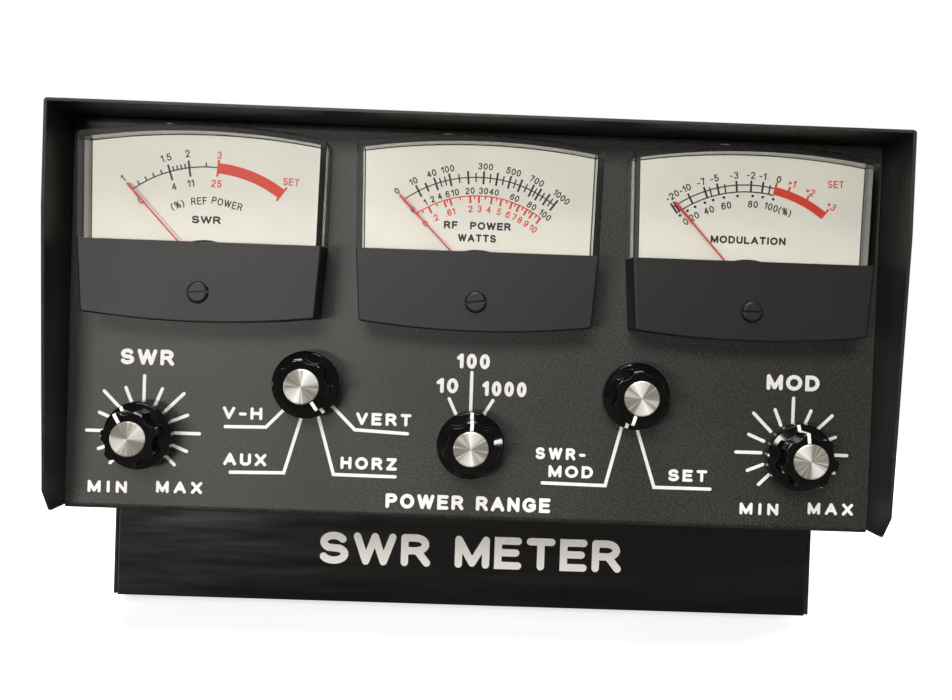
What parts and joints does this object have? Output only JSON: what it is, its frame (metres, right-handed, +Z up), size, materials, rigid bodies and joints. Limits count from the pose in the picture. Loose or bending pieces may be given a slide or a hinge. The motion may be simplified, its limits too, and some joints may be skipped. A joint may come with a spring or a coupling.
{
  "type": "swr meter",
  "caption": "Bench radio meter with a hooded black case, moving-coil meters for SWR, power and modulation, and skirted knobs below them.",
  "frame": {"origin": "centre of the footprint box on the table plane", "axes": "+X to the right seen from the front, +Y to the rear, +Z up; the panel faces -Y"},
  "size_m": [0.2198, 0.2154, 0.1423],
  "materials": {
    "painted_steel": "fine black crinkle paint",
    "gloss_overlay": "gloss black overlay",
    "rubber": "matte",
    "black_screws": "black zinc",
    "clear_acrylic": "clear gloss",
    "black_moulding": "satin",
    "dial_white": "matte white",
    "movement_steel": "plated",
    "coil_copper": "enamelled wire",
    "needle_red": "red",
    "screw_steel": "bright zinc",
    "lamp_glass": "clear glass",
    "knob_black": "polished phenolic",
    "spun_aluminium": "spun",
    "shaft_steel": "turned",
    "pot_steel": "plated",
    "switch_phenolic": "phenolic",
    "nickel": "nickel plate",
    "insulator_white": "white",
    "contact_brass": "plated",
    "jack_black": "moulded",
    "screen_steel": "tinned",
    "board_green": "solder mask"
  },
  "bodies": {
    "cabinet": {"chassis": "painted_steel", "wrap_cover": "painted_steel", "cover_screws": "black_screws", "front_label": "gloss_overlay", "rubber_feet": "rubber", "dial_screws": "screw_steel", "meter_nuts": "screw_steel", "dial_lamps": "lamp_glass", "control_nuts": "nickel", "rf_sockets": "nickel", "socket_insulators": "insulator_white", "socket_contacts": "contact_brass", "socket_screws": "screw_steel", "power_jack": "jack_black", "coupler_box": "screen_steel", "circuit_board": "board_green", "swr_meter_case": "black_moulding", "swr_meter_window": "clear_acrylic", "swr_meter_mask": "black_moulding", "swr_dial": "dial_white", "swr_movement": "movement_steel", "power_meter_case": "black_moulding", "power_meter_window": "clear_acrylic", "power_meter_mask": "black_moulding", "power_dial": "dial_white", "power_movement": "movement_steel", "modulation_meter_case": "black_moulding", "modulation_meter_window": "clear_acrylic", "modulation_meter_mask": "black_moulding", "modulation_dial": "dial_white", "modulation_movement": "movement_steel", "swr_level_pot": "pot_steel", "antenna_switch": "switch_phenolic", "range_switch": "switch_phenolic", "function_switch": "switch_phenolic", "mod_level_pot": "pot_steel"},
    "swr_pointer": {"swr_needle": "needle_red", "swr_moving_coil": "coil_copper"},
    "swr_adjuster": {"swr_zero_screw": "black_moulding"},
    "power_pointer": {"power_needle": "needle_red", "power_moving_coil": "coil_copper"},
    "power_adjuster": {"power_zero_screw": "black_moulding"},
    "modulation_pointer": {"modulation_needle": "needle_red", "modulation_moving_coil": "coil_copper"},
    "modulation_adjuster": {"modulation_zero_screw": "black_moulding"},
    "swr_level_control": {"swr_level_knob": "knob_black", "swr_level_knob_cap": "spun_aluminium", "swr_level_shaft": "shaft_steel"},
    "antenna_control": {"antenna_knob": "knob_black", "antenna_knob_cap": "spun_aluminium", "antenna_shaft": "shaft_steel"},
    "range_control": {"range_knob": "knob_black", "range_knob_cap": "spun_aluminium", "range_shaft": "shaft_steel"},
    "function_control": {"function_knob": "knob_black", "function_knob_cap": "spun_aluminium", "function_shaft": "shaft_steel"},
    "mod_level_control": {"mod_level_knob": "knob_black", "mod_level_knob_cap": "spun_aluminium", "mod_level_shaft": "shaft_steel"}
  },
  "joints": [
    {"name": "swr_needle_swing", "type": "hinge", "parent": "cabinet", "child": "swr_pointer", "pos_m": [-0.0704, -0.08575, 0.1018], "axis": [0, 1, 0], "range_deg": [0, 86]},
    {"name": "swr_zero_turn", "type": "hinge", "parent": "cabinet", "child": "swr_adjuster", "pos_m": [-0.0704, -0.08575, 0.0958], "axis": [0, 1, 0], "range_deg": [-20, 20]},
    {"name": "power_needle_swing", "type": "hinge", "parent": "cabinet", "child": "power_pointer", "pos_m": [0, -0.08575, 0.1018], "axis": [0, 1, 0], "range_deg": [0, 86]},
    {"name": "power_zero_turn", "type": "hinge", "parent": "cabinet", "child": "power_adjuster", "pos_m": [0, -0.08575, 0.0958], "axis": [0, 1, 0], "range_deg": [-20, 20]},
    {"name": "modulation_needle_swing", "type": "hinge", "parent": "cabinet", "child": "modulation_pointer", "pos_m": [0.0704, -0.08575, 0.1018], "axis": [0, 1, 0], "range_deg": [0, 86]},
    {"name": "modulation_zero_turn", "type": "hinge", "parent": "cabinet", "child": "modulation_adjuster", "pos_m": [0.0704, -0.08575, 0.0958], "axis": [0, 1, 0], "range_deg": [-20, 20]},
    {"name": "swr_level_turn", "type": "hinge", "parent": "cabinet", "child": "swr_level_control", "pos_m": [-0.0866, -0.08575, 0.0582], "axis": [0, 1, 0], "range_deg": [-119.5, 180.5]},
    {"name": "antenna_turn", "type": "hinge", "parent": "cabinet", "child": "antenna_control", "pos_m": [-0.0434, -0.08575, 0.0729], "axis": [0, 1, 0], "range_deg": [-10, 80]},
    {"name": "range_turn", "type": "hinge", "parent": "cabinet", "child": "range_control", "pos_m": [0, -0.08575, 0.0585], "axis": [0, 1, 0], "range_deg": [-31, 29]},
    {"name": "function_turn", "type": "hinge", "parent": "cabinet", "child": "function_control", "pos_m": [0.0429, -0.08575, 0.0728], "axis": [0, 1, 0], "range_deg": [-32, 0]},
    {"name": "mod_level_turn", "type": "hinge", "parent": "cabinet", "child": "mod_level_control", "pos_m": [0.0866, -0.08575, 0.0582], "axis": [0, 1, 0], "range_deg": [-143, 157]}
  ]
}
